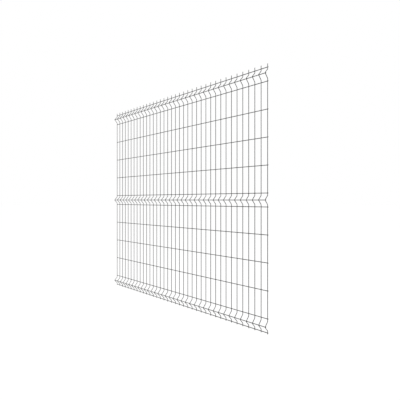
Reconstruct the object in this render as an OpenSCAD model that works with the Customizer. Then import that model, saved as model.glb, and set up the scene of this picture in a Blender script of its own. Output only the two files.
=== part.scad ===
// Welded mesh fence panel, stiffened by pressed V folds.
// Upright wires run from the foot to the spikes; cross wires are welded behind them.
// The panel stands in the XZ plane, +Z up, with the crests of its folds towards -Y.
// The origin is on the cut foot of the middle upright wire. Millimetres.

/* [Mesh] */
// Number of upright wires
upright_count = 37; // [5:2:45]
// Distance between upright wires, centre to centre
upright_pitch = 55; // [40:1:80]
// Distance between the cross wires of a flat field
cross_pitch = 200; // [100:5:250]
// Number of mesh rows in each flat field
field_rows = 4; // [2:1:5]

/* [Wire] */
// Diameter of an upright wire over its coat
upright_d = 5; // [3:0.1:6]
// Diameter of a cross wire over its coat
cross_d = 5.5; // [3:0.1:6]
// Depth that a cross wire is pressed into an upright wire at a weld
weld_set = 0.5; // [0.2:0.05:0.8]
// Length of a cross wire past the side of the last upright wire
cross_overhang = 0.5; // [0:0.1:10]

/* [Folds] */
// Number of V folds, the first at the foot and the last at the spikes
fold_count = 3; // [2:1:4]
// Distance between the two cross wires on either side of a fold
fold_span = 100; // [90:1:120]
// Depth of a fold, from the panel's plane to its crest, wire axis to wire axis
fold_depth = 30; // [20:1:34]
// Angle of a fold's legs from upright
leg_angle = 45; // [40:1:50]
// Bend radius of the wire's axis at a crest
crest_bend_r = 7; // [5:0.5:9]
// Bend radius of the wire's axis where a leg leaves the panel's plane
root_bend_r = 10; // [6:0.5:12]

/* [Ends] */
// Length of the spikes above the top cross wire's axis
spike = 22.5; // [10:0.5:40]
// Length of the cut feet below the bottom cross wire's axis
foot = 7.5; // [4:0.5:15]
// Chamfer at the cut ends of the wires
cut_chamfer = 0.4; // [0.1:0.05:0.7]

/* [Hidden] */
$fn = 24;

// A fold's straight legs, and how far from its crest a leg leaves the panel's plane
leg_length = (fold_depth - (crest_bend_r + root_bend_r) * (1 - cos(leg_angle))) / sin(leg_angle);
fold_reach = (crest_bend_r + root_bend_r) * sin(leg_angle) + leg_length * cos(leg_angle);

// Heights of the crests
field_height = field_rows * cross_pitch;
fold_rise = fold_span + field_height;
crest_heights = [for (k = [0:fold_count - 1]) foot + fold_span / 2 + k * fold_rise];

// The course of an upright wire from foot to spike, where [length] is a straight run and
// [turn, radius] is a bend, forwards for a positive turn
root_bend = [leg_angle, root_bend_r];
crest_bend = [-2 * leg_angle, crest_bend_r];
fold = [root_bend, [leg_length], crest_bend, [leg_length], root_bend];
foot_run = [crest_heights[0] - fold_reach - cut_chamfer];
field_run = [fold_rise - 2 * fold_reach];
spike_run = [fold_span / 2 + spike - fold_reach - cut_chamfer];
course = concat([foot_run, each fold],
    [for (k = [2:fold_count]) each concat([field_run], fold)], [spike_run]);

// The cross wires lie behind the upright wires, sunk a little into them by the welds
cross_y = (upright_d + cross_d) / 2 - weld_set;
mesh_width = (upright_count - 1) * upright_pitch;
cross_length = mesh_width + upright_d + 2 * cross_overhang;

// Each cross wire as its name, its height, and whether it lies in a crest
fold_wires = [for (k = [0:fold_count - 1], part = [-1:1])
    [str("fold_", k + 1, ["_lower_wire", "_crest_wire", "_upper_wire"][part + 1]),
        crest_heights[k] + part * fold_span / 2, part == 0]];
field_wires = [for (k = [0:fold_count - 2], row = [1:field_rows - 1])
    [str("field_", k + 1, "_cross_wire_", row),
        crest_heights[k] + fold_span / 2 + row * cross_pitch, false]];
cross_wires = concat(fold_wires, field_wires);
upright_names = [for (i = [1:upright_count]) str("upright_wire_", i < 10 ? "0" : "", i)];

function upright_x(i) = (i - (upright_count - 1) / 2) * upright_pitch;

// Draws one piece of an upright wire's course, starting at the origin and rising. Straight runs
// and bends are turned so that their facets meet edge to edge.
module wire_piece(piece) {
    if (len(piece) == 1) rotate(90) cylinder(d = upright_d, h = piece[0]);
    else {
        side = sign(piece[0]);
        translate([0, -side * piece[1], 0]) rotate([90, 0, side * 90])
            rotate_extrude(angle = abs(piece[0]))
                translate([piece[1], 0]) rotate(90 - 90 * side) circle(d = upright_d);
    }
}

// Sets its children on the far end of such a piece
module past(piece) {
    if (len(piece) == 1) translate([0, 0, piece[0]]) children();
    else {
        side = sign(piece[0]);
        translate([0, -side * piece[1], 0]) rotate([piece[0], 0, 0])
            translate([0, side * piece[1], 0]) children();
    }
}

// Sets its children at the start of piece i of the course
module along_course(i, from = 0) {
    if (from < i) past(course[from]) along_course(i, from + 1) children();
    else children();
}

// A short cone from the full wire at the origin up to its chamfered cut face
module cut_end(diameter) {
    rotate(90) cylinder(d1 = diameter, d2 = diameter - 2 * cut_chamfer, h = cut_chamfer);
}

// One upright wire, bent through every fold, with a cut foot below and a spike above
module upright_wire(i) {
    color("dimgray") translate([upright_x(i), 0, cut_chamfer]) {
        mirror([0, 0, 1]) cut_end(upright_d);
        for (k = [0:len(course) - 1]) along_course(k) wire_piece(course[k]);
        along_course(len(course)) cut_end(upright_d);
    }
}

// A cross wire before welding, lying behind a point of the upright wires
module plain_cross_wire() {
    half = cross_length / 2 - cut_chamfer;
    translate([0, cross_y, 0]) rotate([0, 90, 0]) {
        cylinder(d = cross_d, h = 2 * half, center = true);
        translate([0, 0, half]) cut_end(cross_d);
        mirror([0, 0, 1]) translate([0, 0, half]) cut_end(cross_d);
    }
}

// The stretch of upright wire that a cross wire is welded to, straight or at a crest, where the
// legs may touch it too
module welded_stretch(at_crest) {
    if (at_crest)
        translate([0, crest_bend_r, 0]) rotate([leg_angle, 0, 0]) translate([0, -crest_bend_r, 0]) {
            mirror([0, 0, 1]) wire_piece([cross_d]);
            wire_piece(crest_bend);
            past(crest_bend) wire_piece([cross_d]);
        }
    else cylinder(d = upright_d, h = 2 * cross_d, center = true);
}

// One cross wire, with a seat for each upright wire that is pressed into it
module cross_wire(height, at_crest) {
    color("dimgray") translate([0, at_crest ? -fold_depth : 0, height]) difference() {
        plain_cross_wire();
        for (i = [0:upright_count - 1])
            translate([upright_x(i), 0, 0]) welded_stretch(at_crest);
    }
}

for (i = [0:upright_count - 1])
    upright_wire(i);
for (wire = cross_wires)
    cross_wire(wire[1], wire[2]);
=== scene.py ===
import math
import random

import bmesh
import bpy
from mathutils import Matrix, Vector


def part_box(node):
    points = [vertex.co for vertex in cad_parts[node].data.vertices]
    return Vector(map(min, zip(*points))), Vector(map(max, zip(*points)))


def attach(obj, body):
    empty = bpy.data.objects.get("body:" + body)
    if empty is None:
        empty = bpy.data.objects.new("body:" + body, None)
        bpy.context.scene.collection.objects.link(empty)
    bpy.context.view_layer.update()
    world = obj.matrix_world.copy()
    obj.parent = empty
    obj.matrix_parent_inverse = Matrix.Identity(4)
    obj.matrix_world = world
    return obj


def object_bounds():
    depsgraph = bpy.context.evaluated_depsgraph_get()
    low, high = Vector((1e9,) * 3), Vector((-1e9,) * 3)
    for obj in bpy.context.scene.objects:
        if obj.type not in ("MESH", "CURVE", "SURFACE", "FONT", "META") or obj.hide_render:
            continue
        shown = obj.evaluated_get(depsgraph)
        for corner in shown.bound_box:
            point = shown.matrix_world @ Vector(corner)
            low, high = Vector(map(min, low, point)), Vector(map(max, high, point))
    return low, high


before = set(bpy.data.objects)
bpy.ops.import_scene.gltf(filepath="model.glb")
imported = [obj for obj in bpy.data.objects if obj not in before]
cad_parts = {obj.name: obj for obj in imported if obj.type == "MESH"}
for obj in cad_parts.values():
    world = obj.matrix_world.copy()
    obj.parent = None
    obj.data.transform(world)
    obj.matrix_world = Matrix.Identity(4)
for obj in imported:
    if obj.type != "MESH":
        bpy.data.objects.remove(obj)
cad_low, cad_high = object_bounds()


# Wires
# Drawn steel wire, galvanised, welded into a mesh and pressed into V folds. The whole panel
# is then powder coated, so that the cut ends and the welds carry the same skin of polyester,
# a neutral grey that is nearly black. It was melted on, which leaves a faint orange peel.

mm = 0.001
coat_hex = "151515"
coat_thin_hex = "1C1C1C"
coat_patch_mm = 35
coat_patch_detail = 3
coat_roughness = 0.42
orange_peel_mm = 1.4
orange_peel_depth_mm = 0.035
orange_peel_detail = 2


def linear(hex_colour):
    channels = [int(hex_colour[i : i + 2], 16) / 255 for i in (0, 2, 4)]
    return [c / 12.92 if c <= 0.04045 else ((c + 0.055) / 1.055) ** 2.4 for c in channels] + [1.0]


def add_node(owner, kind, settings, links=()):
    node = owner.node_tree.nodes.new(kind)
    for name, value in settings.items():
        if name in node.inputs:
            node.inputs[name].default_value = value
        else:
            setattr(node, name, value)
    for source, socket in links:
        owner.node_tree.links.new(source, node.inputs[socket])
    return node


# Satin powder coat: soft highlights along each wire, broken up a little by the orange peel,
# with patches that look paler where the powder lies thin. The sockets for mixing colours share
# their names with those for plain numbers, so they go by their places.
mix_first, mix_second, mixed = 6, 7, 2
coat = bpy.data.materials.new("satin_polyester_powder_coat")
coat.use_nodes = True
coat.node_tree.nodes.clear()
place = add_node(coat, "ShaderNodeTexCoord", {}).outputs["Object"]
patches = add_node(coat, "ShaderNodeTexNoise",
                   {"Scale": 1 / (coat_patch_mm * mm), "Detail": coat_patch_detail},
                   [(place, "Vector")])
colour = add_node(coat, "ShaderNodeMix", {"data_type": "RGBA"}, [(patches.outputs["Fac"], 0)])
colour.inputs[mix_first].default_value = linear(coat_hex)
colour.inputs[mix_second].default_value = linear(coat_thin_hex)
peel = add_node(coat, "ShaderNodeTexNoise",
                {"Scale": 1 / (orange_peel_mm * mm), "Detail": orange_peel_detail},
                [(place, "Vector")])
bump = add_node(coat, "ShaderNodeBump", {"Distance": orange_peel_depth_mm * mm},
                [(peel.outputs["Fac"], "Height")])
skin = add_node(coat, "ShaderNodeBsdfPrincipled", {"Roughness": coat_roughness},
                [(colour.outputs[mixed], "Base Color"), (bump.outputs["Normal"], "Normal")])
add_node(coat, "ShaderNodeOutputMaterial", {}, [(skin.outputs["BSDF"], "Surface")])

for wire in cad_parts.values():
    wire.data.materials.clear()
    wire.data.materials.append(coat)


# Welds
# Where wires cross they are resistance welded: current and pressure sink them into each
# other and squeeze a little molten steel out of the joint. Cooled, it is a low uneven bead
# in the corner between the two wires, softened by the coat.

bead_reach_mm = 3.4
bead_depth_mm = 1.5
bead_spread = 0.12
bead_shift_mm = 0.2
bead_lump_mm = 0.15
bead_around = 14
bead_rings = 6
bead_seed = 7
bead_room = (bead_reach_mm * (1 + bead_spread) + bead_lump_mm) * mm
weld_sink_mm = 0.5

cross_wires = sorted(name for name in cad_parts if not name.startswith("upright"))
upright_boxes = [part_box(name) for name in sorted(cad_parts) if name.startswith("upright")]
upright_places = [(low.x + high.x) / 2 for low, high in upright_boxes]
poles_into_wires = Matrix.Rotation(math.pi / 2, 4, "X")
chance = random.Random(bead_seed)

for cross_wire in cross_wires:
    wire_low, wire_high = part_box(cross_wire)
    beads_form = bmesh.new()
    for upright_x in upright_places:
        spot = Vector((upright_x,
                       wire_low.y + weld_sink_mm / 2 * mm,
                       (wire_low.z + wire_high.z) / 2))
        spot += Vector([chance.uniform(-bead_shift_mm, bead_shift_mm) * mm for axis in range(3)])
        spot.x = max(wire_low.x + bead_room, min(spot.x, wire_high.x - bead_room))
        sizes = [reach * mm * chance.uniform(1 - bead_spread, 1 + bead_spread)
                 for reach in (bead_reach_mm, bead_depth_mm, bead_reach_mm)]
        turn = Matrix.Rotation(chance.uniform(0, math.pi), 4, "Y")
        bead = bmesh.ops.create_uvsphere(
            beads_form, u_segments=bead_around, v_segments=bead_rings, radius=1,
            matrix=Matrix.Translation(spot) @ turn @ Matrix.Diagonal(sizes + [1]) @ poles_into_wires)
        for vert in bead["verts"]:
            vert.co += (vert.co - spot).normalized() * chance.uniform(-bead_lump_mm, bead_lump_mm) * mm
    for face in beads_form.faces:
        face.smooth = True
    beads_mesh = bpy.data.meshes.new("welds_of_" + cross_wire)
    beads_form.to_mesh(beads_mesh)
    beads_form.free()
    beads_mesh.materials.append(coat)
    beads = bpy.data.objects.new("welds_of_" + cross_wire, beads_mesh)
    bpy.context.scene.collection.objects.link(beads)
    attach(beads, "root")


# Floor
# A plain white studio floor, so wide that no edge is in view. It is matt paint, and most of
# the white that the camera sees is the paint's own, so that the panel's shadow stays faint.

floor_half_m = 60
floor_hex = "E7E7E7"
floor_white = 1.06
floor_white_share = 0.9

floor_mesh = bpy.data.meshes.new("floor")
floor_form = bmesh.new()
bmesh.ops.create_grid(floor_form, x_segments=1, y_segments=1, size=floor_half_m)
floor_form.to_mesh(floor_mesh)
floor_form.free()
floor = bpy.data.objects.new("floor", floor_mesh)
bpy.context.scene.collection.objects.link(floor)

# Matt white paint: no gloss, and a shadow so faint that the panel seems to stand on nothing.
floor_paint = bpy.data.materials.new("matt_white_floor_paint")
floor_paint.use_nodes = True
floor_paint.node_tree.nodes.clear()
matt = add_node(floor_paint, "ShaderNodeBsdfDiffuse", {"Color": linear(floor_hex)})
rays = add_node(floor_paint, "ShaderNodeLightPath", {})
seen = add_node(floor_paint, "ShaderNodeMath", {"operation": "MAXIMUM"},
                [(rays.outputs["Is Camera Ray"], 0), (rays.outputs["Is Glossy Ray"], 1)])
share = add_node(floor_paint, "ShaderNodeMapRange", {"To Max": floor_white_share},
                 [(seen.outputs[0], "Value")])
glow = add_node(floor_paint, "ShaderNodeEmission", {"Color": linear("FFFFFF"), "Strength": floor_white})
both = add_node(floor_paint, "ShaderNodeMixShader", {},
                [(share.outputs[0], 0), (matt.outputs[0], 1), (glow.outputs[0], 2)])
add_node(floor_paint, "ShaderNodeOutputMaterial", {}, [(both.outputs[0], "Surface")])
floor_mesh.materials.append(floor_paint)


# Light
# A white tent all round, which the camera and the gloss of the coat see as pure white while it
# lights the panel less, and two large soft lamps above on the side that the folds face.

tent_light = 0.6

world = bpy.data.worlds.new("white_tent")
bpy.context.scene.world = world
world.use_nodes = True
world.node_tree.nodes.clear()
rays = add_node(world, "ShaderNodeLightPath", {})
seen = add_node(world, "ShaderNodeMath", {"operation": "MAXIMUM"},
                [(rays.outputs["Is Camera Ray"], 0), (rays.outputs["Is Glossy Ray"], 1)])
level = add_node(world, "ShaderNodeMapRange", {"To Min": tent_light, "To Max": 1},
                 [(seen.outputs[0], "Value")])
sky = add_node(world, "ShaderNodeBackground", {"Color": linear("FFFFFF")},
               [(level.outputs[0], "Strength")])
add_node(world, "ShaderNodeOutputWorld", {}, [(sky.outputs[0], "Surface")])

# Each lamp's name, its place in metres, its power in watts and its width in metres
middle = (cad_low + cad_high) / 2
for name, spot, power, size in (
    ("soft_lamp_left", Vector((-2.5, -5.0, 4.5)), 260, 3.0),
    ("soft_lamp_right", Vector((4.5, -2.0, 3.5)), 120, 2.5),
):
    lamp = bpy.data.lights.new(name, "AREA")
    lamp.energy = power
    lamp.size = size
    lamp_object = bpy.data.objects.new(name, lamp)
    lamp_object.location = spot
    lamp_object.rotation_euler = (middle - spot).to_track_quat("-Z", "Y").to_euler()
    bpy.context.scene.collection.objects.link(lamp_object)


# Camera
# Level, at half the panel's height, beyond the panel's right end on the side that the folds
# face, and looking back along it at a slant, which draws the far end two thirds as tall.

camera_spot = Vector((2.3057, -2.0351, 0.9575))
camera_aim = Vector((-0.69907, 0.71505, 0.0))
lens_mm = 30
sensor_mm = 36
view_reach_m = 200

camera = bpy.data.cameras.new("camera")
camera.lens = lens_mm
camera.sensor_width = sensor_mm
camera.clip_end = view_reach_m
camera_object = bpy.data.objects.new("camera", camera)
camera_object.location = camera_spot
camera_object.rotation_euler = camera_aim.to_track_quat("-Z", "Y").to_euler()
bpy.context.scene.collection.objects.link(camera_object)
bpy.context.scene.camera = camera_object
bpy.context.scene.view_settings.view_transform = "Standard"
